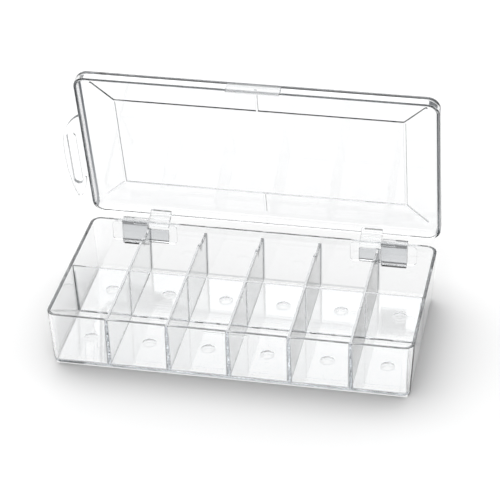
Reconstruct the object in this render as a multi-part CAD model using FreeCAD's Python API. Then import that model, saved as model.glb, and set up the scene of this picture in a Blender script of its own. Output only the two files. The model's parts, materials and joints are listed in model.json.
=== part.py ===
import FreeCAD, Part
import os
from math import cos, radians, sin

V = FreeCAD.Vector

# Bobbin box: a clear moulded tray of twelve compartments under a clip-on hinged lid.
# Millimetres. Origin at the centre of the tray's underside, +X along the box with the
# hang tab at the -X end, +Y towards the hinge, +Z up. The lid is drawn shut and then
# swung open to the angle the box is kept at.

# ---- driving dimensions -------------------------------------------------------
TRAY_LENGTH = 178.0
TRAY_WIDTH = 91.0
TRAY_HEIGHT = 29.5
COLUMNS = 6
COLUMN_PITCH = 29.5
WALL = 1.6
FLOOR = 1.8
DRAFT_INSET = 1.5            # how far each wall leans in between rim and underside
CORNER_RADIUS = 5.5
BOTTOM_ROUND = 2.5
FLOOR_FILLET = 0.8

DIVIDER_TOP_THICKNESS = 1.15
DIVIDER_FOOT_THICKNESS = 1.4
DIVIDER_DROP = 0.9           # divider tops sit this far under the rim
STEP_LENGTH = 14.0           # lowered end of each rear cross divider
STEP_DROP = 2.4

DIMPLE_RADIUS = 3.8
DIMPLE_DEPTH = 0.5

LID_OVERHANG_END = 0.7
LID_OVERHANG_SIDE = 0.3
LID_DEPTH = 7.0
LID_PANEL = 1.6
LID_SKIRT = 1.5
LID_CORNER_RADIUS = 6.5
LID_EDGE_ROUND = 1.0
SEAT_GAP = 0.3               # air left between the shut lid and the rim
OPEN_ANGLE = 76.0            # from shut to the drawn position

RIB_RADIUS = 0.7
RIB_HALF_LENGTH = 72.0
RIB_HALF_WIDTH = 28.0
RIB_DIAGONAL = 10.5          # reach of the corner ribs along X and along Y
CENTRE_RIB_END = 40.5

AXIS_BEHIND_WALL = 2.6
AXIS_HEIGHT = 27.2
PIN_RADIUS = 0.9
PIN_CLEARANCE = 0.06
BARREL_RADIUS = 1.8
LUG_INNER = 49.3
LUG_OUTER = 60.1
LUG_PLATE = 1.8
LUG_GAP = 0.35               # air between the lug and the pad on the tray
LUG_GRIP = 3.7               # height of the lug's seat on the lid skirt
SOCKET_INNER = 60.5
SOCKET_OUTER = 73.5
SOCKET_REACH = 1.9           # socket beyond the axis, to the rear
SOCKET_BELOW = 11.7
SOCKET_ABOVE = 1.8
SOCKET_ROUND = 1.5
MOUTH_WIDTH = 1.5            # the gap the pin is pressed through
REST_DEPTH = 2.0             # block on the pad under each lug
REST_BOTTOM = 17.5
REST_TOP = 24.6
REST_ROUND = 1.0
PIN_TIP = 67.0
PIN_END_GAP = 0.6
PAD_INNER = 44.8
PAD_OUTER = 78.6
PAD_BOTTOM = 17.5
PAD_TOP = 28.0
PAD_PROUD = 0.5
PAD_CORNER = 2.0

CATCH_HALF_LENGTH = 13.2
CATCH_PROUD = 1.2
CATCH_HANG = 2.4
CATCH_RISE = 3.5
CATCH_ROUND = 0.5
RIDGE_HALF_LENGTH = 11.0
RIDGE_PROUD = 0.25
CATCH_SET_OFF = 0.2          # the hanging part stands off the skirt face by this
RIDGE_DROP = 1.6             # ridge centre under the rim
RIDGE_HEIGHT = 1.2

TAB_THICKNESS = 1.8
TAB_REACH = 10.4
# outline of the hang tab: how far out from the lid's end, how far from the lid's rear edge
TAB_OUTLINE = [(0.0, 66.0), (4.0, 62.5), (8.5, 54.5), (TAB_REACH, 43.0), (10.3, 30.0),
               (9.0, 18.5), (5.9, 9.5), (2.6, 15.5), (1.6, 25.0)]
SLOT_WIDTH = 4.5
SLOT_BAND = 2.7              # tab material outside the slot
SLOT_REAR = 19.0             # slot ends, from the lid's rear edge
SLOT_FRONT = 54.0

CUT_MARGIN = 1.0             # how far a cutting block runs past the material
WALL_ROOT = 2.0              # how deep a block reaches into a wall before it is trimmed
SHORT_EDGE = 1.0             # edges shorter than this are left sharp
NEAR = 0.01

# ---- values that follow from them ---------------------------------------------
DIVIDER_TOP = TRAY_HEIGHT - DIVIDER_DROP
AXIS_Y = TRAY_WIDTH / 2 + AXIS_BEHIND_WALL
LID_HALF_LENGTH = TRAY_LENGTH / 2 + LID_OVERHANG_END
LID_HALF_WIDTH = TRAY_WIDTH / 2 + LID_OVERHANG_SIDE
LID_RIM = TRAY_HEIGHT + SEAT_GAP
LID_TOP = LID_RIM + LID_DEPTH
LID_CEILING = LID_TOP - LID_PANEL


def box(x0, x1, y0, y1, z0, z1):
    """A plain block between two corners."""
    return Part.makeBox(x1 - x0, y1 - y0, z1 - z0, V(x0, y0, z0))


def rounded_outline(half_x, half_y, radius, z):
    """A flat rectangle with round corners, as a closed wire at height z."""
    centres = [(half_x - radius, half_y - radius, 0), (radius - half_x, half_y - radius, 90),
               (radius - half_x, radius - half_y, 180), (half_x - radius, radius - half_y, 270)]
    edges = []
    previous = None
    first = None
    for cx, cy, start in centres:
        points = []
        for turn in (start, start + 45, start + 90):
            points.append(V(cx + radius * cos(radians(turn)), cy + radius * sin(radians(turn)), z))
        if previous is not None:
            edges.append(Part.makeLine(previous, points[0]))
        else:
            first = points[0]
        edges.append(Part.Arc(points[0], points[1], points[2]).toShape())
        previous = points[2]
    edges.append(Part.makeLine(previous, first))
    return Part.Wire(edges)


def tapered_block(half_x, half_y, radius, z_low, z_high, inset):
    """A round-cornered block that is narrower by inset on every side at its lower end."""
    low = rounded_outline(half_x - inset, half_y - inset, radius - inset / 2, z_low)
    high = rounded_outline(half_x, half_y, radius, z_high)
    return Part.makeLoft([low, high], True, True)


def edges_at(shape, z, tolerance=1e-4):
    """Edges of a shape that lie flat at height z."""
    found = []
    for edge in shape.Edges:
        bounds = edge.BoundBox
        if abs(bounds.ZMin - z) < tolerance and abs(bounds.ZMax - z) < tolerance:
            found.append(edge)
    return found


def wall_inset(z):
    """How far the tray wall has leant in from the rim at height z."""
    return DRAFT_INSET * (TRAY_HEIGHT - z) / TRAY_HEIGHT


def cavity():
    """The hollow of the tray, from its floor to above the rim."""
    top = TRAY_HEIGHT + CUT_MARGIN
    inset = wall_inset(FLOOR) - wall_inset(top)
    half_x = TRAY_LENGTH / 2 - WALL - wall_inset(top)
    half_y = TRAY_WIDTH / 2 - WALL - wall_inset(top)
    hollow = tapered_block(half_x, half_y, CORNER_RADIUS - WALL, FLOOR, top, inset)
    return hollow.makeFillet(FLOOR_FILLET, edges_at(hollow, FLOOR))


def column_centres():
    """X of the middle of each column of compartments."""
    return [(column - (COLUMNS - 1) / 2) * COLUMN_PITCH for column in range(COLUMNS)]


def row_centres():
    """Y of the middle of the front row and of the rear row."""
    middle = (TRAY_WIDTH / 2 - WALL - wall_inset(FLOOR)) / 2
    return [-middle, middle]


def tray_block():
    """The tray's outside as one solid block, with its lower edge still sharp."""
    return tapered_block(TRAY_LENGTH / 2, TRAY_WIDTH / 2, CORNER_RADIUS, 0.0, TRAY_HEIGHT, DRAFT_INSET)


def tray_shell():
    """Floor and four leaning walls, with a shallow dimple in each compartment's floor."""
    outside = tray_block()
    outside = outside.makeFillet(BOTTOM_ROUND, edges_at(outside, 0.0))
    shell = outside.cut(cavity())
    for x in column_centres():
        for y in row_centres():
            shell = shell.cut(dimple(x, y))
    return shell


def dimple(x, y):
    """The dish scooped out of the floor in the middle of one compartment."""
    ball_radius = (DIMPLE_RADIUS ** 2 + DIMPLE_DEPTH ** 2) / (2 * DIMPLE_DEPTH)
    ball = Part.makeSphere(ball_radius, V(x, y, FLOOR - DIMPLE_DEPTH + ball_radius))
    return ball.common(Part.makeCylinder(DIMPLE_RADIUS + CUT_MARGIN, FLOOR, V(x, y, FLOOR / 2)))


def tapered_strip(length_axis, start, end, centre, top=DIVIDER_TOP):
    """An upright strip standing on the floor, thicker at its foot than at its top."""
    foot = DIVIDER_FOOT_THICKNESS / 2
    tip = DIVIDER_TOP_THICKNESS / 2
    profile = [(-foot, FLOOR), (foot, FLOOR), (tip, top), (-tip, top)]
    points = []
    for offset, z in profile + profile[:1]:
        if length_axis == "x":
            points.append(V(start, centre + offset, z))
        else:
            points.append(V(centre + offset, start, z))
    run = V(end - start, 0, 0) if length_axis == "x" else V(0, end - start, 0)
    return Part.Face(Part.makePolygon(points)).extrude(run)


def long_divider():
    """The upright strip that runs the length of the tray between the two rows."""
    reach = TRAY_LENGTH / 2
    return tapered_strip("x", -reach, reach, 0.0).common(cavity())


def divider_positions():
    """X of each cross divider."""
    return [(index - (COLUMNS - 2) / 2) * COLUMN_PITCH for index in range(COLUMNS - 1)]


def cross_divider(x, side, between):
    """One cross divider, from the long divider to the front (-1) or rear (+1) wall."""
    reach = side * TRAY_WIDTH / 2
    strip = tapered_strip("y", min(0.0, reach), max(0.0, reach), x)
    if side > 0:
        wall_face = TRAY_WIDTH / 2 - WALL
        strip = strip.cut(box(x - DIVIDER_FOOT_THICKNESS, x + DIVIDER_FOOT_THICKNESS,
                              wall_face - STEP_LENGTH, reach, DIVIDER_TOP - STEP_DROP, TRAY_HEIGHT))
    return strip.common(cavity()).cut(between)


def long_edges(shape, beyond_y):
    """Edges that run along X and lie wholly behind beyond_y."""
    return [edge for edge in shape.Edges
            if edge.BoundBox.YMin > beyond_y and edge.BoundBox.XLength > SHORT_EDGE]


def hinge_socket(side):
    """Pad and bearing block on the outside of the rear wall, with the bore for the lid's pin."""
    wall_y = TRAY_WIDTH / 2
    pad = box(PAD_INNER, PAD_OUTER, wall_y - WALL_ROOT, wall_y + PAD_PROUD, PAD_BOTTOM, PAD_TOP)
    corners = [edge for edge in pad.Edges
               if edge.BoundBox.ZMax > PAD_BOTTOM - NEAR and edge.BoundBox.YLength > SHORT_EDGE]
    pad = pad.makeFillet(PAD_CORNER, corners)
    block = box(SOCKET_INNER, SOCKET_OUTER, wall_y - WALL_ROOT, AXIS_Y + SOCKET_REACH,
                AXIS_HEIGHT - SOCKET_BELOW, AXIS_HEIGHT + SOCKET_ABOVE)
    block = block.makeFillet(SOCKET_ROUND, long_edges(block, AXIS_Y))
    bore_start = SOCKET_INNER - CUT_MARGIN
    bore_end = PIN_TIP + PIN_END_GAP
    bore = Part.makeCylinder(PIN_RADIUS + PIN_CLEARANCE, bore_end - bore_start,
                             V(bore_start, AXIS_Y, AXIS_HEIGHT), V(1, 0, 0))
    mouth = box(bore_start, bore_end, AXIS_Y - MOUTH_WIDTH / 2, AXIS_Y + MOUTH_WIDTH / 2,
                AXIS_HEIGHT, AXIS_HEIGHT + SOCKET_ABOVE + CUT_MARGIN)
    rest = box(LUG_INNER, LUG_OUTER, wall_y - WALL_ROOT, wall_y + REST_DEPTH, REST_BOTTOM, REST_TOP)
    rest = rest.makeFillet(REST_ROUND, long_edges(rest, wall_y))
    socket = pad.multiFuse([block, rest]).cut(bore).cut(mouth)
    socket = socket.cut(tray_block()).removeSplitter()
    return socket if side > 0 else socket.mirror(V(0, 0, 0), V(1, 0, 0))


def catch_ridge():
    """The low ridge on the front wall that the lid's catch lip passes over."""
    z = TRAY_HEIGHT - RIDGE_DROP
    face = -(TRAY_WIDTH / 2 - wall_inset(z))
    ridge = box(-RIDGE_HALF_LENGTH, RIDGE_HALF_LENGTH, face - RIDGE_PROUD, face + CUT_MARGIN,
                z - RIDGE_HEIGHT / 2, z + RIDGE_HEIGHT / 2)
    return ridge.cut(tray_block())


def lid_cover():
    """The lid's panel and its skirt, open underneath."""
    outside = tapered_block(LID_HALF_LENGTH, LID_HALF_WIDTH, LID_CORNER_RADIUS, LID_RIM, LID_TOP, 0.0)
    outside = outside.makeFillet(LID_EDGE_ROUND, edges_at(outside, LID_TOP))
    inside = tapered_block(LID_HALF_LENGTH - LID_SKIRT, LID_HALF_WIDTH - LID_SKIRT,
                           LID_CORNER_RADIUS - LID_SKIRT, LID_RIM - CUT_MARGIN, LID_CEILING, 0.0)
    inside = inside.makeFillet(FLOOR_FILLET, edges_at(inside, LID_CEILING))
    return outside.cut(inside)


def rib(x0, y0, x1, y1):
    """A full-round bar with round ends between two points on the lid's ceiling."""
    start = V(x0, y0, LID_CEILING)
    run = V(x1 - x0, y1 - y0, 0)
    bar = Part.makeCylinder(RIB_RADIUS, run.Length, start, run)
    bar = bar.fuse(Part.makeSphere(RIB_RADIUS, start))
    return bar.fuse(Part.makeSphere(RIB_RADIUS, start + run))


def rib_frame():
    """Half-round stiffening beads under the lid panel: a rectangle, corner ribs, centre ribs."""
    length = RIB_HALF_LENGTH
    width = RIB_HALF_WIDTH
    bars = []
    for side in (-1, 1):
        bars.append(rib(-length, side * width, length, side * width))
        bars.append(rib(side * length, -width, side * length, width))
        bars.append(rib(0, side * width, 0, side * CENTRE_RIB_END))
        for end in (-1, 1):
            bars.append(rib(end * length, side * width, end * (length + RIB_DIAGONAL),
                            side * (width + RIB_DIAGONAL)))
    frame = bars[0].multiFuse(bars[1:])
    below_panel = box(-LID_HALF_LENGTH, LID_HALF_LENGTH, -LID_HALF_WIDTH, LID_HALF_WIDTH,
                      LID_RIM, LID_CEILING)
    return frame.common(below_panel)


def hinge_lug(side):
    """Arm on the lid's rear skirt that reaches down to the hinge, with its pin."""
    face = LID_HALF_WIDTH
    plate_front = TRAY_WIDTH / 2 + PAD_PROUD + LUG_GAP
    plate_rear = plate_front + LUG_PLATE
    seat = box(LUG_INNER, LUG_OUTER, face, plate_rear, LID_RIM, LID_RIM + LUG_GRIP)
    arm = box(LUG_INNER, LUG_OUTER, plate_front, plate_rear, AXIS_HEIGHT, LID_RIM + LUG_GRIP)
    barrel = Part.makeCylinder(BARREL_RADIUS, LUG_OUTER - LUG_INNER,
                               V(LUG_INNER, AXIS_Y, AXIS_HEIGHT), V(1, 0, 0))
    pin = Part.makeCylinder(PIN_RADIUS, PIN_TIP - LUG_OUTER,
                            V(LUG_OUTER, AXIS_Y, AXIS_HEIGHT), V(1, 0, 0))
    lug = seat.multiFuse([arm, barrel, pin]).removeSplitter()
    return lug if side > 0 else lug.mirror(V(0, 0, 0), V(1, 0, 0))


def catch_lip():
    """The finger lip at the middle of the lid's front skirt that hangs over the tray's rim."""
    face = -LID_HALF_WIDTH
    upper = box(-CATCH_HALF_LENGTH, CATCH_HALF_LENGTH, face - CATCH_PROUD, face,
                LID_RIM, LID_RIM + CATCH_RISE)
    hanging = box(-CATCH_HALF_LENGTH, CATCH_HALF_LENGTH, face - CATCH_PROUD, face - CATCH_SET_OFF,
                  LID_RIM - CATCH_HANG, LID_RIM)
    lip = upper.fuse(hanging).removeSplitter()
    outer = [edge for edge in lip.Edges
             if edge.BoundBox.YMax < face - CATCH_PROUD + NEAR and edge.BoundBox.XLength > SHORT_EDGE]
    return lip.makeFillet(CATCH_ROUND, outer)


def hang_tab():
    """Flat loop with a long slot, standing off the lid's left end level with its rim."""
    end_x = -LID_HALF_LENGTH
    rear = LID_HALF_WIDTH
    z = LID_RIM
    points = [V(end_x - out, rear - along, z) for out, along in TAB_OUTLINE]
    curve = Part.BSplineCurve()
    curve.interpolate(points)
    foot = V(end_x, points[-1].y, z)
    sides = [Part.makeLine(points[-1], foot), Part.makeLine(foot, points[0])]
    outline = Part.Face(Part.Wire([curve.toShape()] + sides))
    tab = outline.extrude(V(0, 0, TAB_THICKNESS))
    slot_outer = end_x - TAB_REACH + SLOT_BAND
    radius = SLOT_WIDTH / 2
    slot_ends = (rear - SLOT_FRONT + radius, rear - SLOT_REAR - radius)
    low = z - CUT_MARGIN
    high = z + TAB_THICKNESS + CUT_MARGIN
    middle = box(slot_outer, slot_outer + SLOT_WIDTH, slot_ends[0], slot_ends[1], low, high)
    rounds = [Part.makeCylinder(radius, high - low, V(slot_outer + radius, y, low)) for y in slot_ends]
    return tab.cut(middle.multiFuse(rounds))


def swing_open(shape):
    """Turn a lid part from shut to its drawn position about the hinge axis."""
    opened = shape.copy()
    opened.rotate(V(0, AXIS_Y, AXIS_HEIGHT), V(1, 0, 0), -OPEN_ANGLE)
    return opened


def main():
    """Make every part, swing the lid's parts open, and write one STEP file for each."""
    os.makedirs("parts", exist_ok=True)
    between = long_divider()
    parts = {"tray_shell": tray_shell(), "long_divider": between, "catch_ridge": catch_ridge(),
             "hinge_socket_left": hinge_socket(-1), "hinge_socket_right": hinge_socket(1)}
    for number, x in enumerate(divider_positions(), start=1):
        parts["front_divider_%d" % number] = cross_divider(x, -1, between)
        parts["rear_divider_%d" % number] = cross_divider(x, 1, between)
    lid = {"lid_cover": lid_cover(), "rib_frame": rib_frame(), "catch_lip": catch_lip(),
           "hang_tab": hang_tab(), "hinge_lug_left": hinge_lug(-1), "hinge_lug_right": hinge_lug(1)}
    for name, shape in lid.items():
        parts[name] = swing_open(shape)
    for name, shape in parts.items():
        solids = shape.Solids
        print(name, "solids", len(solids), "valid", shape.isValid(), "volume", round(shape.Volume, 2))
        whole = solids[0] if len(solids) == 1 else Part.makeCompound(solids)
        whole.exportStep("parts/%s.step" % name)


main()
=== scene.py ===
# %% [markdown]
# # A clear bobbin box
# This lesson dresses a small moulded box: a tray of twelve compartments and a hinged lid, both in
# crystal-clear plastic. The measured solids come in first as a fixed frame. They could be given a
# glassy material as they are, but a clear moulding is one body with soft edges, and where two solids
# only touch, light would stop at the join. So the tray and the lid are each built again as one skin.

# %% Load the frame
import json
import bmesh
import bpy
import numpy as np
from mathutils import Matrix, Vector


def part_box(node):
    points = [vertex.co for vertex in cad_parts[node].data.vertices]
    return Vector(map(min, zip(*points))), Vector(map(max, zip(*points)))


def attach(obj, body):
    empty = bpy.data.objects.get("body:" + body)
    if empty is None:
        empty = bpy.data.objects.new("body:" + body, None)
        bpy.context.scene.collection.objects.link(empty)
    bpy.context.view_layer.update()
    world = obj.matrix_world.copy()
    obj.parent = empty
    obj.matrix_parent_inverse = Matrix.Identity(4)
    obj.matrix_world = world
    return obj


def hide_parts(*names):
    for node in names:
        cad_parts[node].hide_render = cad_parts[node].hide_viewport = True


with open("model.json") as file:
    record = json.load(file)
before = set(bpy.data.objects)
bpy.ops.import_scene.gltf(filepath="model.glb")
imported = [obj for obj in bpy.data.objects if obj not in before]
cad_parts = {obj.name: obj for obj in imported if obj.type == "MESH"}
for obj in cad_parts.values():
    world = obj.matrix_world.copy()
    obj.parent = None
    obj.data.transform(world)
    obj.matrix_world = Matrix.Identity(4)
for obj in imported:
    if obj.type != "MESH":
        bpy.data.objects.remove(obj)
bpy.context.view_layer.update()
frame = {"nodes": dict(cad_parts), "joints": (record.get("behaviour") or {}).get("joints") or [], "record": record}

MM = 0.001


# %% [markdown]
# ## Sizes
# Every size is read from the frame, so the new skins lie where the solids lie. A few thicknesses
# cannot be read from a node's outer box, and they are named here once.

# %% Read the sizes of the box
def node_corners(name):
    """The lowest and highest corner of a node, as two arrays in metres."""
    low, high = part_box(name)
    return np.array(low), np.array(high)


tray_low, tray_high = node_corners("tray_shell")
long_low, long_high = node_corners("long_divider")
LENGTH = tray_high[0] - tray_low[0]
WIDTH = tray_high[1] - tray_low[1]
RIM = tray_high[2]
FLOOR = long_low[2]
DIVIDER_TOP = long_high[2]
FOOT = 1.35 * MM
TIP = 1.15 * MM
WALL = 1.6 * MM
LEAN = 1.5 * MM
CORNER = 5.5 * MM
BOTTOM_ROUND = 2.5 * MM
CROSS_X = [sum(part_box("front_divider_%d" % number)[side][0] for side in (0, 1)) / 2
           for number in range(1, 6)]

hinge = frame["joints"][0]
HINGE = np.array(hinge["pos_m"])
SHUT_ANGLE = np.radians(hinge["range_deg"][1])
print("tray is", np.round([LENGTH, WIDTH, RIM], 4), "m, cross dividers at", np.round(CROSS_X, 4))
print("lid stands", round(np.degrees(SHUT_ANGLE)), "degrees open")


# %% [markdown]
# ## From numbers to a mesh
# Most surfaces here are a grid of points: rows of a profile, each row a closed loop. A grid can be
# modelled by hand with loop cuts, but computing it keeps every edge where the sizes say. One helper
# turns any grid into a mesh, with flat caps on its first and last row so that the skin is watertight.

# %% Grid helper
def tidy_faces(mesh, merge=1e-6):
    """Merge points closer than merge and turn every face outwards."""
    work = bmesh.new()
    work.from_mesh(mesh)
    bmesh.ops.remove_doubles(work, verts=work.verts, dist=merge)
    bmesh.ops.recalc_face_normals(work, faces=work.faces)
    work.to_mesh(mesh)
    work.free()


def grid_mesh(name, points):
    """A watertight mesh from points[row, column]: columns close on themselves, end rows are capped."""
    rows, columns = points.shape[:2]
    index = np.arange(rows * columns).reshape(rows, columns)
    beside = np.roll(index, -1, axis=1)
    quads = np.stack([index[:-1], beside[:-1], beside[1:], index[1:]], axis=-1).reshape(-1, 4)
    faces = quads.tolist() + [index[0][::-1].tolist(), index[-1].tolist()]
    mesh = bpy.data.meshes.new(name)
    mesh.from_pydata(points.reshape(-1, 3).tolist(), [], faces)
    tidy_faces(mesh)
    return mesh


def quarter(steps):
    """Angles of a quarter turn, 0 to pi/2."""
    return np.linspace(0.0, np.pi / 2, steps)


# %% [markdown]
# ## A dish with round corners
# The tray and the lid are both dishes: a profile carried round a rectangle with round corners. A
# bevelled cube would also do, but its corners and its wall could not be set apart. Here each row of
# the grid is the rectangle drawn in by the profile's inset, at the profile's height.

# %% Rounded rectangles and dishes
SMALLEST_RADIUS = 0.6 * MM


def rounded_rectangle(half_x, half_y, radius, steps=9):
    """Loop of points: corner centre + radius * (cos a, sin a), with a running once round."""
    turn = quarter(steps)
    loops = []
    for corner, (side_x, side_y) in enumerate([(1, 1), (-1, 1), (-1, -1), (1, -1)]):
        angle = turn + corner * np.pi / 2
        x = side_x * (half_x - radius) + radius * np.cos(angle)
        y = side_y * (half_y - radius) + radius * np.sin(angle)
        loops.append(np.stack([x, y], axis=-1))
    return np.concatenate(loops)


def dish(name, half_x, half_y, corner, profile):
    """Points(row, column) = rectangle drawn in by inset(row), at height(row)."""
    rows = []
    for inset, height in profile:
        radius = max(corner - inset, SMALLEST_RADIUS)
        loop = rounded_rectangle(half_x - inset, half_y - inset, radius)
        rows.append(np.column_stack([loop, np.full(len(loop), height)]))
    return grid_mesh(name, np.array(rows))


def arc(centre_inset, centre_height, radius, start, end, steps=6):
    """Profile points: centre + radius * (cos a, sin a), with a from start to end in degrees."""
    angle = np.radians(np.linspace(start, end, steps))
    return list(zip(centre_inset + radius * np.cos(angle), centre_height + radius * np.sin(angle)))


# %% [markdown]
# ## The tray's shell
# The wall leans in towards the floor so that the moulding leaves its tool, the underside has a soft
# round, and the rim is lightly broken. The profile runs from the underside, up the outside, over the
# rim and down the inside to the floor.

# %% Tray shell
RIM_BREAK = 0.35 * MM
FLOOR_FILLET = 1.1 * MM
RIM_STEPS = 4


def lean(height):
    """How far the wall has leant in at a height: LEAN * (RIM - height) / RIM."""
    return LEAN * (RIM - height) / RIM


outer_round = arc(lean(0.0) + BOTTOM_ROUND, BOTTOM_ROUND, BOTTOM_ROUND, 270, 180)
outer_rim = arc(RIM_BREAK, RIM - RIM_BREAK, RIM_BREAK, 180, 90, RIM_STEPS)
inner_rim = arc(WALL - RIM_BREAK, RIM - RIM_BREAK, RIM_BREAK, 90, 0, RIM_STEPS)
floor_round = arc(WALL + lean(FLOOR) + FLOOR_FILLET, FLOOR + FLOOR_FILLET, FLOOR_FILLET, 180, 270)
tray_profile = outer_round + outer_rim + inner_rim + floor_round
shell_mesh = dish("shell", LENGTH / 2, WIDTH / 2, CORNER, tray_profile)
print("shell has", len(shell_mesh.polygons), "faces")


# %% [markdown]
# ## The dividers
# The dividers are thin walls that thicken a little towards the floor and flare into whatever they
# meet. Those small flares draw the dark lines at every junction of a clear moulding. A box with a
# bevel would miss them, so each divider is a grid: along its length, and up one side and down the
# other. A cross divider steps down near the rear wall, and its points crowd together wherever a
# flare or the step needs them.

# %% Sizes of the dividers
WALL_FLARE_TOP = 0.25 * MM
WALL_FLARE_FOOT = 1.0 * MM
STEP_LENGTH = 14.0 * MM
STEP_DROP = 2.4 * MM
STEP_RAMP = 0.5 * MM
SINK = 0.3 * MM
CROWN = 0.15 * MM
CROWN_STEPS = 4
SIDE_STEPS = 14
CROWDING = 1.6
LONG_HALF = TIP * 0.7
print("divider is", round(TIP / MM, 2), "mm thick at the top and", round(FOOT / MM, 2), "at the foot")


# %% Fillets and stations
CLOSE_RUN = np.array([0.0, 0.02, 0.06, 0.12, 0.2, 0.3, 0.42, 0.6, 0.8, 1.0]) * MM


def fillet(distance, radius):
    """A quarter-round fillet: r - sqrt(r^2 - (r - d)^2) within r of the wall, 0 beyond."""
    reach = np.clip(radius - np.abs(distance), 0.0, radius)
    return radius - np.sqrt(radius ** 2 - reach ** 2)


def stations_between(end, places, count):
    """Even stations from -end to end, with a close run beside every place that needs detail."""
    runs = [np.linspace(-end, end, count)]
    for place in places:
        runs.append(place + CLOSE_RUN)
        runs.append(place - CLOSE_RUN)
    return np.unique(np.round(np.clip(np.concatenate(runs), -end, end), 7))


# %% [markdown]
# One function gives every divider. It starts from the taper, adds a fillet wherever the divider meets
# the floor, a wall or the long divider, rounds the top edge, and folds the half profile over to the
# other side. Modelling each one by hand would give eleven slightly different walls.

# %% The divider as a grid
def divider(end, places, count, top, foot_fillet, crossing):
    """Half thickness = straight taper from tip to foot + fillets at the floor, walls and crossing."""
    stations = stations_between(end + SINK, places + [-end, end], count)[:, None]
    tops = top(stations)
    share = np.linspace(0.0, 1.0, SIDE_STEPS)[None, :] ** CROWDING
    height = FLOOR + (tops - CROWN - FLOOR) * share
    depth = (DIVIDER_TOP - height) / (DIVIDER_TOP - FLOOR)
    flare = WALL_FLARE_TOP + (WALL_FLARE_FOOT - WALL_FLARE_TOP) * depth
    half = TIP / 2 + (FOOT - TIP) / 2 * depth + fillet(height - FLOOR, foot_fillet)
    half = half + fillet(np.maximum(end - np.abs(stations), 0.0), flare)
    if crossing:
        half = half + fillet(np.maximum(np.abs(stations) - LONG_HALF, 0.0), WALL_FLARE_TOP)
    under = np.full((len(stations), 1), FLOOR - WALL / 2)
    side_z = np.concatenate([under, height], axis=1)
    side_half = np.concatenate([half[:, :1], half], axis=1)
    turn = quarter(CROWN_STEPS)[1:]
    crown_half = side_half[:, -1:] - CROWN * (1.0 - np.cos(turn))[None, :]
    crown_z = side_z[:, -1:] + CROWN * np.sin(turn)[None, :]
    half_loop = np.concatenate([side_half, crown_half], axis=1)
    z_loop = np.concatenate([side_z, crown_z], axis=1)
    across = np.concatenate([half_loop, -half_loop[:, ::-1]], axis=1)
    up = np.concatenate([z_loop, z_loop[:, ::-1]], axis=1)
    along = stations * (1.0 - lean(up) / end)
    return np.stack([along, across, up], axis=-1)


def level_top(stations):
    """The long divider keeps one height."""
    return np.full_like(stations, DIVIDER_TOP)


def stepped_top(stations):
    """A cross divider drops by STEP_DROP over its last stretch before the rear wall."""
    ramp = np.clip((stations - (inside_y - STEP_LENGTH)) / STEP_RAMP, 0.0, 1.0)
    return DIVIDER_TOP - STEP_DROP * ramp


# %% Make the dividers
LONG_STATIONS = 25
CROSS_STATIONS = 21
LONG_FOOT_FILLET = 0.5 * MM
CROSS_FOOT_FILLET = 0.02 * MM

inside_x = LENGTH / 2 - WALL
inside_y = WIDTH / 2 - WALL
step_start = inside_y - STEP_LENGTH
long_wall = divider(inside_x, [], LONG_STATIONS, level_top, LONG_FOOT_FILLET, False)
long_mesh = grid_mesh("long", long_wall)
cross_places = [step_start, step_start + STEP_RAMP, LONG_HALF, -LONG_HALF]
cross_wall = divider(inside_y, cross_places, CROSS_STATIONS, stepped_top, CROSS_FOOT_FILLET, True)
cross_meshes = []
for x in CROSS_X:
    turned = np.stack([x - cross_wall[..., 1], cross_wall[..., 0], cross_wall[..., 2]], axis=-1)
    cross_meshes.append(grid_mesh("cross", turned))
print("one long divider and", len(cross_meshes), "cross dividers")


# %% [markdown]
# ## Joining solids into one skin
# A clear moulding shows every inner face, so touching solids must become one skin. The Boolean
# modifier with its exact solver does that. The small clip parts are copied from the frame, because
# their shapes are right: a copy is welded, pushed a little into the wall it grows from, and joined.

# %% Join helpers
WELD = 2e-6
FLAT_ANGLE = np.radians(1.0)
CORNER_ANGLE = np.radians(50)
CLIP_BEVEL = 0.2 * MM
PUSH = 0.5 * MM
ON_TRAY_WALL = 0.05 * MM


def get_points(mesh):
    """All points of a mesh as an array."""
    flat = np.empty(len(mesh.vertices) * 3)
    mesh.vertices.foreach_get("co", flat)
    return flat.reshape(-1, 3)


def set_points(mesh, points):
    """Writes an array of points back to a mesh."""
    mesh.vertices.foreach_set("co", points.reshape(-1))
    mesh.update()


def make_object(mesh):
    """Puts a mesh into the scene."""
    piece = bpy.data.objects.new(mesh.name, mesh)
    bpy.context.scene.collection.objects.link(piece)
    return piece


def boolean(mesh, tools, operation):
    """Runs one exact Boolean per tool and returns the finished mesh."""
    base = make_object(mesh)
    helpers = []
    for tool in tools:
        helper = make_object(tool)
        helpers.append(helper)
        modifier = base.modifiers.new("join", "BOOLEAN")
        modifier.operation = operation
        modifier.solver = "EXACT"
        modifier.object = helper
    graph = bpy.context.evaluated_depsgraph_get()
    result = bpy.data.meshes.new_from_object(base.evaluated_get(graph))
    for spare in helpers + [base]:
        bpy.data.objects.remove(spare)
    return result


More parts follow.
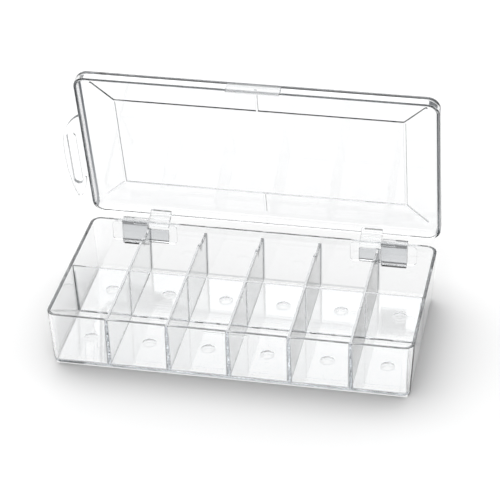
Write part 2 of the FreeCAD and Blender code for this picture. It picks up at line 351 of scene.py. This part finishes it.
def node_copy(name, shift, bevel=CLIP_BEVEL):
    """A welded copy of a node's mesh with lightly broken edges; shift moves chosen points."""
    mesh = frame["nodes"][name].data.copy()
    work = bmesh.new()
    work.from_mesh(mesh)
    bmesh.ops.remove_doubles(work, verts=work.verts, dist=WELD)
    bmesh.ops.dissolve_limit(work, angle_limit=FLAT_ANGLE, verts=work.verts, edges=work.edges)
    bmesh.ops.recalc_face_normals(work, faces=work.faces)
    work.to_mesh(mesh)
    work.free()
    set_points(mesh, shift(get_points(mesh)))
    piece = make_object(mesh)
    edge = piece.modifiers.new("broken edges", "BEVEL")
    edge.width = bevel
    edge.segments = 3
    edge.limit_method = "ANGLE"
    edge.angle_limit = CORNER_ANGLE
    graph = bpy.context.evaluated_depsgraph_get()
    result = bpy.data.meshes.new_from_object(piece.evaluated_get(graph))
    bpy.data.objects.remove(piece)
    return result


def sink_into_wall(points, side):
    """Moves the points on the tray's rear wall (side 1) or front wall (side -1) into it by PUSH."""
    wall = WIDTH / 2 - lean(points[:, 2])
    on_wall = side * points[:, 1] < wall + ON_TRAY_WALL
    moved = points.copy()
    moved[on_wall, 1] -= side * PUSH
    return moved


# %% [markdown]
# ## The dimples, and the tray in one skin
# Each compartment has a shallow round dish in its floor, where a bobbin's rim tips so that a finger
# can lift it. A ball pressed in would give an even bowl, but the real dish has a flat middle and a
# steeper edge, so a lens with a fourth-power profile is taken away from the floor. The sockets of the
# clips and the ridge of the catch are joined on first.

# %% Dimples in the floor, and the tray's skin
DIMPLE = 3.8 * MM
DIMPLE_DEPTH = 0.55 * MM
LENS_LID = 0.3 * MM
LENS_RINGS = np.array([1.0, 1.0, 0.95, 0.89, 0.82, 0.74, 0.64, 0.5, 0.3, 0.1])
LENS_SIDES = 40
SOCKET_BEVEL = 0.4 * MM
RIDGE_BEVEL = 0.05 * MM


def lens(x, y):
    """Height(radius) = floor - depth * (1 - (radius / R)^4), closed by a flat lid above the floor."""
    height = FLOOR - DIMPLE_DEPTH * (1.0 - LENS_RINGS ** 4)
    height[0] = FLOOR + LENS_LID
    turn = np.linspace(0.0, 2 * np.pi, LENS_SIDES, endpoint=False)
    px = x + DIMPLE * LENS_RINGS[:, None] * np.cos(turn)[None, :]
    py = y + DIMPLE * LENS_RINGS[:, None] * np.sin(turn)[None, :]
    pz = np.repeat(height[:, None], len(turn), axis=1)
    return grid_mesh("dimple", np.stack([px, py, pz], axis=-1))


pitch = CROSS_X[1] - CROSS_X[0]
column_x = [CROSS_X[0] - pitch / 2 + pitch * column for column in range(len(CROSS_X) + 1)]
row_y = (inside_y - lean(FLOOR)) / 2
lenses = [lens(x, side * row_y) for x in column_x for side in (-1, 1)]

sockets = [node_copy(name, lambda points: sink_into_wall(points, 1), SOCKET_BEVEL)
           for name in ("hinge_socket_left", "hinge_socket_right")]
ridge = node_copy("catch_ridge", lambda points: sink_into_wall(points, -1), RIDGE_BEVEL)
tray_mesh = boolean(shell_mesh, [long_mesh] + cross_meshes + sockets + [ridge], "UNION")
tray_mesh = boolean(tray_mesh, lenses, "DIFFERENCE")
print("tray skin has", len(tray_mesh.polygons), "faces and", len(lenses), "dimples")


# %% [markdown]
# ## The lid
# The lid is a shallow dish upside down. It is worked out shut, flat over the tray, where its sizes are
# easy to write, and then its points are turned about the hinge to where the lid stands.

# %% Lid shell
LID_OVERHANG = 0.3 * MM
LID_GAP = 0.3 * MM
LID_HALF_X = node_corners("lid_cover")[1][0]
LID_HALF_Y = WIDTH / 2 + LID_OVERHANG
LID_RIM = RIM + LID_GAP
LID_DEPTH = 7.0 * MM
LID_TOP = LID_RIM + LID_DEPTH
PANEL = 1.6 * MM
SKIRT = 1.5 * MM
LID_CORNER = 6.5 * MM
EDGE_ROUND = 2.4 * MM
LID_FILLET = 1.8 * MM
LID_RIM_ROUND = 0.7 * MM
CEILING = LID_TOP - PANEL

lid_top_round = arc(EDGE_ROUND, LID_TOP - EDGE_ROUND, EDGE_ROUND, 90, 180)
lid_rim_outer = arc(LID_RIM_ROUND, LID_RIM + LID_RIM_ROUND, LID_RIM_ROUND, 180, 270)
lid_rim_inner = arc(SKIRT - LID_RIM_ROUND, LID_RIM + LID_RIM_ROUND, LID_RIM_ROUND, 270, 360)
lid_inner = arc(SKIRT + LID_FILLET, CEILING - LID_FILLET, LID_FILLET, 180, 90)
lid_profile = lid_top_round + lid_rim_outer + lid_rim_inner + lid_inner
cover_mesh = dish("cover", LID_HALF_X, LID_HALF_Y, LID_CORNER, lid_profile)
print("cover has", len(cover_mesh.polygons), "faces")


def turn_about_hinge(points, angle):
    """y' = y cos a - z sin a, z' = y sin a + z cos a, measured from the hinge line."""
    y = points[..., 1] - HINGE[1]
    z = points[..., 2] - HINGE[2]
    turned = points.copy()
    turned[..., 1] = HINGE[1] + y * np.cos(angle) - z * np.sin(angle)
    turned[..., 2] = HINGE[2] + y * np.sin(angle) + z * np.cos(angle)
    return turned


# %% [markdown]
# ## Ribs inside the lid
# Thin half-round beads stiffen the panel: a rectangle, a rib out to each corner and a short rib in the
# middle of each long side. A bevelled curve would do, but a computed bar with round ends, lying half
# in the panel, joins cleanly in the Boolean.

# %% Lid ribs
RIB = 0.7 * MM
RIB_X = 72.0 * MM
RIB_Y = 28.0 * MM
RIB_REACH = 10.5 * MM
CENTRE_REACH = 12.5 * MM
RIB_TIP = 0.02 * MM
RIB_SIDES = 16
RIB_CAP_STEPS = 6


def bead(start, end):
    """Ring(s, a) = centre(s) + radius(s) * (cos a * side + sin a * up), a half ball at each end."""
    start = np.array(start)
    run = np.array(end) - start
    length = np.linalg.norm(run)
    ahead = run / length
    side = np.array([-ahead[1], ahead[0], 0.0])
    up = np.array([0.0, 0.0, 1.0])
    cap = quarter(RIB_CAP_STEPS)
    along = np.concatenate([-RIB * np.cos(cap), length + RIB * np.sin(cap)])
    radius = np.concatenate([RIB * np.sin(cap), RIB * np.cos(cap)])
    radius = np.maximum(radius, RIB_TIP)
    turn = np.linspace(0.0, 2 * np.pi, RIB_SIDES, endpoint=False)
    ring = np.cos(turn)[:, None] * side + np.sin(turn)[:, None] * up
    points = start + along[:, None, None] * ahead + radius[:, None, None] * ring[None]
    return grid_mesh("bead", points)


beads = []
for side in (-1, 1):
    beads.append(bead((-RIB_X, side * RIB_Y, CEILING), (RIB_X, side * RIB_Y, CEILING)))
    beads.append(bead((side * RIB_X, -RIB_Y, CEILING), (side * RIB_X, RIB_Y, CEILING)))
    beads.append(bead((0, side * RIB_Y, CEILING), (0, side * (RIB_Y + CENTRE_REACH), CEILING)))
    for end in (-1, 1):
        beads.append(bead((end * RIB_X, side * RIB_Y, CEILING),
                          (end * (RIB_X + RIB_REACH), side * (RIB_Y + RIB_REACH), CEILING)))
print(len(beads), "beads under the panel")


# %% [markdown]
# ## Lugs, catch lip and hang loop
# These grow out of the lid's skirt. Their copies are turned shut, pushed a little into the skirt, and
# joined with the cover and its beads. Then the whole lid is turned open.

# %% Join the lid
ON_SKIRT = 0.02 * MM
LOOP_BEVEL = 0.8 * MM


def shut_and_sink(points):
    """Turns a lid part shut and moves the points that touch the skirt into it by PUSH."""
    shut = turn_about_hinge(points, SHUT_ANGLE)
    at_rear = np.abs(shut[:, 1] - LID_HALF_Y) < ON_SKIRT
    at_front = np.abs(shut[:, 1] + LID_HALF_Y) < ON_SKIRT
    at_end = np.abs(shut[:, 0] + LID_HALF_X) < ON_SKIRT
    shut[at_rear, 1] -= PUSH
    shut[at_front, 1] += PUSH
    shut[at_end, 0] += PUSH
    return shut


lid_parts = [node_copy(name, shut_and_sink)
             for name in ("hinge_lug_left", "hinge_lug_right", "catch_lip")]
lid_parts.append(node_copy("hang_tab", shut_and_sink, LOOP_BEVEL))
lid_mesh = boolean(cover_mesh, beads + lid_parts, "UNION")
set_points(lid_mesh, turn_about_hinge(get_points(lid_mesh), -SHUT_ANGLE))
print("lid skin has", len(lid_mesh.polygons), "faces")


# %% [markdown]
# ## Clear plastic
# Clear styrene bends light more than water and a little more than window glass. The Principled
# shader's transmission does the work, with a faint absorption for light that runs a long way inside.
# Real mouldings are never perfectly even: slow waves from the melt and fine scuffs from handling are
# added as bump and roughness. Plain glass would be too bright at a slant, so a Layer Weight mixes in
# a greyer tone there. Where walls run together a greyer tone is painted shade for the dark junction
# lines, the clips are a little frosted, and a darker tone on the lid's rougher skirt and a much darker
# one on the narrow sides of the loop and the ends of the lip are painted shade as well. One function
# makes them all, so that they read as one plastic.

# %% Noise and range helpers
def noise(tree, place, scale, detail):
    """Noise on the piece's own coordinates."""
    texture = tree.nodes.new("ShaderNodeTexNoise")
    texture.inputs["Scale"].default_value = scale
    texture.inputs["Detail"].default_value = detail
    tree.links.new(place.outputs["Object"], texture.inputs["Vector"])
    return texture.outputs["Fac"]


def stretch(tree, source, span, result):
    """result[0] + (source - span[0]) / (span[1] - span[0]) * (result[1] - result[0]), clamped."""
    node = tree.nodes.new("ShaderNodeMapRange")
    for socket, value in zip(("From Min", "From Max", "To Min", "To Max"), span + result):
        node.inputs[socket].default_value = value
    tree.links.new(source, node.inputs["Value"])
    return node.outputs["Result"]


# %% Clear styrene
STYRENE_IOR = 1.57
CLEAR_SCUFF = (0.008, 0.06)
TONE_SCALE, TONE_DETAIL = 35.0, 3.0
TONE_SPAN = (0.35, 0.65)
TONE_STEP = 0.008
SLANT_START = 0.64
SCUFF_SCALE, SCUFF_DETAIL = 420.0, 5.0
SCUFF_SPAN = (0.45, 0.80)
WAVE_SCALE, WAVE_DETAIL = 28.0, 1.0
WAVE_HEIGHT = 0.02 * MM
ABSORPTION_COLOUR = (0.84, 0.85, 0.86, 1.0)
ABSORPTION_DENSITY = 45.0


def clear_styrene(name, tint, wave_strength, slant_tone, scuff=CLEAR_SCUFF):
    """Full transmission; a tone that greys at a slant, scuffs as roughness, melt waves as bump."""
    material = bpy.data.materials.new(name)
    material.use_nodes = True
    tree = material.node_tree
    shader = tree.nodes["Principled BSDF"]
    shader.inputs["Transmission Weight"].default_value = 1.0
    shader.inputs["IOR"].default_value = STYRENE_IOR
    place = tree.nodes.new("ShaderNodeTexCoord")

    tone = tree.nodes.new("ShaderNodeValToRGB")
    low, high = tone.color_ramp.elements
    low.position, high.position = TONE_SPAN
    low.color = (*[value - TONE_STEP for value in tint], 1.0)
    high.color = (*tint, 1.0)
    tree.links.new(noise(tree, place, TONE_SCALE, TONE_DETAIL), tone.inputs["Fac"])

    slant = tree.nodes.new("ShaderNodeLayerWeight")
    slant.inputs["Blend"].default_value = 0.5
    slant_share = stretch(tree, slant.outputs["Facing"], (SLANT_START, 1.0), (0.0, 1.0))
    edge_tone = tree.nodes.new("ShaderNodeMix")
    edge_tone.data_type = "RGBA"
    edge_tone.blend_type = "MULTIPLY"
    edge_tone.inputs[7].default_value = (slant_tone, slant_tone, slant_tone, 1.0)
    tree.links.new(slant_share, edge_tone.inputs[0])
    tree.links.new(tone.outputs["Color"], edge_tone.inputs[6])
    tree.links.new(edge_tone.outputs[2], shader.inputs["Base Color"])

    scuffs = noise(tree, place, SCUFF_SCALE, SCUFF_DETAIL)
    tree.links.new(stretch(tree, scuffs, SCUFF_SPAN, scuff), shader.inputs["Roughness"])

    bump = tree.nodes.new("ShaderNodeBump")
    bump.inputs["Strength"].default_value = wave_strength
    bump.inputs["Distance"].default_value = WAVE_HEIGHT
    tree.links.new(noise(tree, place, WAVE_SCALE, WAVE_DETAIL), bump.inputs["Height"])
    tree.links.new(bump.outputs["Normal"], shader.inputs["Normal"])

    depth = tree.nodes.new("ShaderNodeVolumeAbsorption")
    depth.inputs["Color"].default_value = ABSORPTION_COLOUR
    depth.inputs["Density"].default_value = ABSORPTION_DENSITY
    tree.links.new(depth.outputs["Volume"], tree.nodes["Material Output"].inputs["Volume"])
    return material


# %% [markdown]
# The tints are set one by one. The numbers after the name are the tint, how strong the melt waves are and
# how far the tone greys at a slant.

# %% The six finishes of the one plastic, three of them with painted shade
tray_plastic = clear_styrene("clear_tray_styrene", (0.994, 0.998, 1.0), 0.10, 0.5)
lid_plastic = clear_styrene("clear_lid_styrene", (0.968, 0.972, 0.975), 0.15, 0.12)
# Painted shade: a grey tone for the dark lines that light draws where walls and dividers meet.
corner_shade_plastic = clear_styrene("painted_corner_shade_styrene", (0.70, 0.71, 0.72), 0.10, 0.5)
# Painted shade: a dark tone that draws the outlines of the loop's narrow sides and the lip's ends.
narrow_side_shade_plastic = clear_styrene("painted_narrow_side_shade_styrene", (0.45, 0.46, 0.47), 0.10, 0.5)
# Painted shade: a slightly darker tone on the lid's skirt, which also has rougher scuffs.
skirt_shade_plastic = clear_styrene("painted_skirt_shade_styrene", (0.96, 0.963, 0.966), 0.15, 0.2,
                              scuff=(0.06, 0.14))
clip_plastic = clear_styrene("frosted_hinge_styrene", (1.0, 1.0, 1.0), 0.30, 0.1,
                             scuff=(0.03, 0.10))
print(len(bpy.data.materials), "materials after the styrenes")


# %% [markdown]
# ## Which faces get painted shade, and which are frosted clips
# The tray and the lid are one skin each, so a different finish is given face by face. It could be
# painted by hand in edit mode. Choosing the faces by where they lie and which way they look keeps the
# choice exact. Painted shade goes where walls and dividers meet, on the lid's skirt, and on the narrow
# sides of the loop and the ends of the lip; all corners of a tray face must lie in such a corner, so
# that no large wall is caught.

# %% Choose a finish or painted shade for every face
CORNER_REACH = 1.3 * MM
CORNER_HALF = 1.7 * MM
ABOVE_FLOOR = 0.1 * MM
BELOW_TOP = 0.2 * MM
CLIP_START = 0.6 * MM
JUST_OUTSIDE = 0.05 * MM
FLAT_ON_LOOP = 0.9
END_OF_LIP = 0.7


def face_arrays(mesh):
    """For all faces: the points of their corners, each face's first corner, its middle, its normal."""
    count = len(mesh.polygons)
    corner_points = np.empty(len(mesh.loops), dtype=np.int32)
    first = np.empty(count, dtype=np.int32)
    total = np.empty(count, dtype=np.int32)
    normals = np.empty(count * 3)
    mesh.loops.foreach_get("vertex_index", corner_points)
    mesh.polygons.foreach_get("loop_start", first)
    mesh.polygons.foreach_get("loop_total", total)
    mesh.polygons.foreach_get("normal", normals)
    corners = get_points(mesh)[corner_points]
    middles = np.add.reduceat(corners, first) / total[:, None]
    return corners, first, middles, normals.reshape(-1, 3)


def in_shaded_corner(points):
    """True within reach of a wall and of a divider that runs into it, above the floor: faces there get painted
    shade.
    """
    x, y, z = points.T
    in_height = (z > FLOOR + ABOVE_FLOOR) & (z < DIVIDER_TOP - BELOW_TOP)
    to_side_wall = np.abs(np.abs(y) - (inside_y - lean(z)))
    to_end_wall = np.abs(np.abs(x) - (inside_x - lean(z)))
    to_cross = np.abs(x[:, None] - np.array(CROSS_X)).min(axis=1)
    cross_meets_side = (to_cross < CORNER_HALF) & (to_side_wall < CORNER_REACH)
    long_meets_end = (np.abs(y) < CORNER_HALF) & (to_end_wall < CORNER_REACH)
    return in_height & (cross_meets_side | long_meets_end)


def tray_finish_and_shade(mesh):
    """Per face: 0 clear plastic, 1 painted shade where walls and dividers meet, 2 frosted clip."""
    corners, first, middles, _ = face_arrays(mesh)
    # A face wholly inside such a corner gets the painted corner shade.
    thick = np.logical_and.reduceat(in_shaded_corner(corners), first)
    on_clip = middles[:, 1] > WIDTH / 2 + CLIP_START
    return np.where(on_clip, 2, thick.astype(np.int32))


def lid_finish_and_shade(mesh):
    """Per face: 0 clear plastic, 1 skirt with painted shade, 2 narrow sides of the hang loop and ends of the lip,
    with darker painted shade.
    """
    _, _, middles, normals = face_arrays(mesh)
    shut = turn_about_hinge(middles, SHUT_ANGLE)
    upward = normals[:, 1] * np.sin(SHUT_ANGLE) + normals[:, 2] * np.cos(SHUT_ANGLE)
    inset_x = LID_HALF_X - np.abs(shut[:, 0])
    inset_y = LID_HALF_Y - np.abs(shut[:, 1])
    on_loop = shut[:, 0] < -LID_HALF_X - JUST_OUTSIDE
    on_lip = ~on_loop & (shut[:, 1] < -LID_HALF_Y - JUST_OUTSIDE)
    # These narrow faces get the darker painted shade.
    narrow = on_loop & (np.abs(upward) < FLAT_ON_LOOP)
    narrow |= on_lip & (np.abs(normals[:, 0]) > END_OF_LIP)
    # The skirt, apart from the hinge side, gets the painted shade.
    at_hinge_side = shut[:, 1] > LID_HALF_Y - SKIRT - JUST_OUTSIDE
    on_skirt = (np.minimum(inset_x, inset_y) < SKIRT + JUST_OUTSIDE) & ~at_hinge_side
    on_skirt &= ~(on_loop | on_lip)
    return np.where(narrow, 2, on_skirt.astype(np.int32))


# %% [markdown]
# ## Put the skins in place
# Smooth shading bends the flat panels unless the big faces are given the say over the small ones, so
# sharp edges are marked and a Weighted Normal modifier is added. Each skin rides on its body and
# stands for all the solids that it was built from.

# %% Finish and place the tray and the lid
SHARP_ANGLE = np.radians(32)


def finish_skin(name, mesh, materials, finish, body, nodes):
    """Names a skin, shades it, rides it on its body and lets it stand for the CAD nodes."""
    mesh.materials.clear()
    for material in materials:
        mesh.materials.append(material)
    tidy_faces(mesh, WELD)
    index = finish(mesh).astype(np.int32)
    mesh.polygons.foreach_set("material_index", index)
    mesh.polygons.foreach_set("use_smooth", np.ones(len(mesh.polygons), dtype=bool))
    work = bmesh.new()
    work.from_mesh(mesh)
    for edge in work.edges:
        edge.smooth = edge.is_manifold and edge.calc_face_angle() < SHARP_ANGLE
    loose = sum(not edge.is_manifold for edge in work.edges)
    work.to_mesh(mesh)
    work.free()
    piece = make_object(mesh)
    piece.name = name
    normals = piece.modifiers.new("flat panels", "WEIGHTED_NORMAL")
    normals.keep_sharp = True
    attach(piece, body)
    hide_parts(*nodes)
    print(name, "faces", len(mesh.polygons), "open edges", loose,
          "faces per finish", np.bincount(index, minlength=len(materials)).tolist())
    return piece


bodies = frame["record"]["behaviour"]["bodies"]
tray_skin = finish_skin("tray", tray_mesh, [tray_plastic, corner_shade_plastic, clip_plastic], tray_finish_and_shade,
                        "tray", bodies["tray"])
lid_skin = finish_skin("lid", lid_mesh, [lid_plastic, skirt_shade_plastic, narrow_side_shade_plastic], lid_finish_and_shade,
                       "lid", bodies["lid"])


# %% [markdown]
# ## Floor and glowing card
# The box stands on a plain white sweep. Light that has to come down through a clear box and go back up
# to the eye loses a little at every face, so product studios lay a glowing white card under such a
# thing. Here it is a flat sheet just under the tray, a little smaller than its foot in front and at
# the ends, and reaching out behind, where the walls are looked through.

# %% Floor and glowing card
FLOOR_REACH = 4.0
FLOOR_LEVEL = -0.3 * MM
FLOOR_WHITE = 0.9
CARD_INSET = 1.4 * MM
CARD_BEHIND = 40.0 * MM
CARD_LEVEL = -0.15 * MM
CARD_WHITE = 0.1
CARD_GLOW = 0.88


def flat_sheet(name, half_x, front_y, rear_y, height, material):
    """One flat face between two corners, as a stage object."""
    mesh = bpy.data.meshes.new(name)
    mesh.from_pydata([(-half_x, front_y, height), (half_x, front_y, height), (half_x, rear_y, height),
                      (-half_x, rear_y, height)], [], [(0, 1, 2, 3)])
    mesh.materials.append(material)
    sheet = make_object(mesh)


def plain_paint(name, white, glow):
    """Matt paint: base colour and, for the card, emission."""
    material = bpy.data.materials.new(name)
    material.use_nodes = True
    shader = material.node_tree.nodes["Principled BSDF"]
    shader.inputs["Base Color"].default_value = (white, white, white, 1.0)
    shader.inputs["Roughness"].default_value = 1.0
    shader.inputs["Specular IOR Level"].default_value = 0.0
    shader.inputs["Emission Color"].default_value = (1.0, 1.0, 1.0, 1.0)
    shader.inputs["Emission Strength"].default_value = glow
    return material


flat_sheet("studio_floor", FLOOR_REACH, -FLOOR_REACH, FLOOR_REACH, FLOOR_LEVEL,
           plain_paint("white_sweep", FLOOR_WHITE, 0.0))
flat_sheet("glow_card", LENGTH / 2 - CARD_INSET - LEAN, CARD_INSET + LEAN - WIDTH / 2,
           WIDTH / 2 + CARD_BEHIND, CARD_LEVEL, plain_paint("glowing_card", CARD_WHITE, CARD_GLOW))
print("card is", round((LENGTH / 2 - CARD_INSET - LEAN) * 2, 4), "m long")


# %% [markdown]
# ## Lamps and sky
# A large soft lamp stands behind, to the left and above, so the shadow falls forward and to the right
# and has no hard edge. A weaker one in front opens that shadow. The sky is white above and behind and
# dark low in front: clear plastic has no colour of its own, and its edges are drawn by that dark part.
# Light focused through the plastic would need many more samples to look clean, so it is switched off,
# and the lid casts no shadow, because a thin clear panel would hardly darken the floor.

# %% Lamps and sky
LAMP_AIM = (0.0, 0.0, 0.0)
SKY_UP = (-0.35, 0.5, 0.8)
SKY_DARK = (0.16, 0.165, 0.17, 1.0)
SKY_WHITE = (1.0, 1.0, 1.0, 1.0)
SKY_WHITE_FROM = 0.45
SKY_STRENGTH = 1.03
BOUNCES = 40
GLOSSY_BOUNCES = 24


def soft_lamp(name, place, size, power):
    """A square area lamp at a place, facing the box."""
    data = bpy.data.lights.new(name, "AREA")
    data.size = size
    data.energy = power
    lamp = bpy.data.objects.new(name, data)
    lamp.location = place
    lamp.rotation_euler = (Vector(LAMP_AIM) - Vector(place)).to_track_quat("-Z", "Y").to_euler()
    bpy.context.scene.collection.objects.link(lamp)


soft_lamp("back_lamp", (-0.75, 1.15, 2.0), 2.6, 24.0)
soft_lamp("front_fill", (0.2, -1.5, 1.7), 1.6, 12.0)

world = bpy.data.worlds.new("studio")
bpy.context.scene.world = world
world.use_nodes = True
sky = world.node_tree.nodes
sky_links = world.node_tree.links
direction = sky.new("ShaderNodeTexCoord")
tilt = sky.new("ShaderNodeVectorMath")
tilt.operation = "DOT_PRODUCT"
tilt.inputs[1].default_value = SKY_UP
ramp = sky.new("ShaderNodeValToRGB")
ramp.color_ramp.elements[0].position = 0.0
ramp.color_ramp.elements[0].color = SKY_DARK
ramp.color_ramp.elements[1].position = SKY_WHITE_FROM
ramp.color_ramp.elements[1].color = SKY_WHITE
sky_links.new(direction.outputs["Generated"], tilt.inputs[0])
sky_links.new(tilt.outputs["Value"], ramp.inputs["Fac"])
sky_links.new(ramp.outputs["Color"], sky["Background"].inputs["Color"])
sky["Background"].inputs["Strength"].default_value = SKY_STRENGTH

tracing = bpy.context.scene.cycles
tracing.caustics_refractive = False
tracing.caustics_reflective = False
tracing.max_bounces = BOUNCES
tracing.transmission_bounces = BOUNCES
tracing.glossy_bounces = GLOSSY_BOUNCES
lid_skin.visible_shadow = False
print(len(bpy.data.lights), "lamps")


# %% [markdown]
# ## Camera
# A long lens from a little to the right and well above, held very slightly off level. The camera's
# axes are worked out from those angles, which is easier to adjust than a matrix of numbers.

# %% Camera
AZIMUTH = np.radians(12.03)
ELEVATION = np.radians(32.54)
ROLL = np.radians(-1.41)
DISTANCE = 1.050
AIM = np.array([2.2, 2.4, 45.4]) * MM
FOCAL_LENGTH = 155.556
SENSOR_WIDTH = 36.0
FARTHEST = 20.0

back = np.array([np.sin(AZIMUTH) * np.cos(ELEVATION), -np.cos(AZIMUTH) * np.cos(ELEVATION),
                 np.sin(ELEVATION)])
right = np.array([np.cos(AZIMUTH), np.sin(AZIMUTH), 0.0])
up = np.cross(back, right)
camera_x = right * np.cos(ROLL) + up * np.sin(ROLL)
camera_y = up * np.cos(ROLL) - right * np.sin(ROLL)
camera_place = AIM + back * DISTANCE
lens_data = bpy.data.cameras.new("camera")
lens_data.sensor_width = SENSOR_WIDTH
lens_data.lens = FOCAL_LENGTH
lens_data.clip_end = FARTHEST
camera = bpy.data.objects.new("camera", lens_data)
camera.matrix_world = Matrix([[camera_x[row], camera_y[row], back[row], camera_place[row]]
                              for row in range(3)] + [[0, 0, 0, 1]])
bpy.context.scene.collection.objects.link(camera)
bpy.context.scene.camera = camera
bpy.context.scene.view_settings.view_transform = "Standard"
print("camera at", np.round(camera_place, 3))
